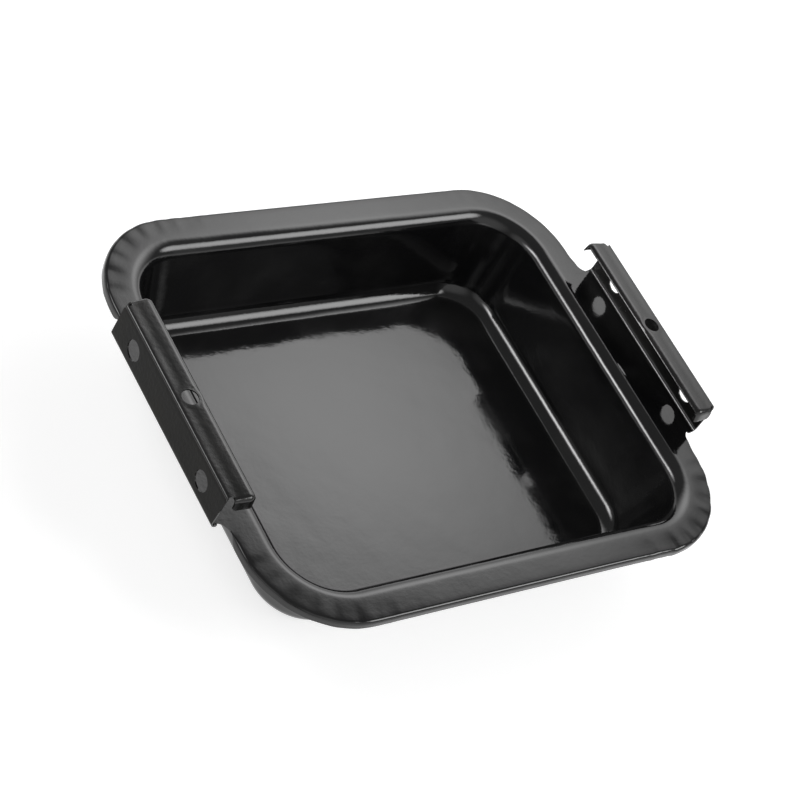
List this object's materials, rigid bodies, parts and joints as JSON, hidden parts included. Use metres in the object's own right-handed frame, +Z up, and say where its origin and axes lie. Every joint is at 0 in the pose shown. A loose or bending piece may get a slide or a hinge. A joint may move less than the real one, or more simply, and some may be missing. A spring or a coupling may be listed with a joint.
{
  "type": "oil drain pan",
  "caption": "Rectangular enamelled steel drip and drain pan with sloping walls, a flat turned-down rim and pressed hanger brackets on its short ends.",
  "frame": {"origin": "centre of the pan's flat underside, on the plane that it stands on", "axes": "+X from the left hanger to the right hanger along the pan's long side, +Y across the pan, +Z up out of the open mouth"},
  "size_m": [0.3184, 0.251, 0.0753],
  "materials": {
    "pan_enamel": "glossy black vitreous enamel over steel sheet",
    "hanger_enamel": "thin dark grey-black enamel over steel sheet, semi-gloss"
  },
  "bodies": {
    "root": {"pan": "pan_enamel", "left_hanger": "hanger_enamel", "right_hanger": "hanger_enamel"}
  },
  "joints": []
}
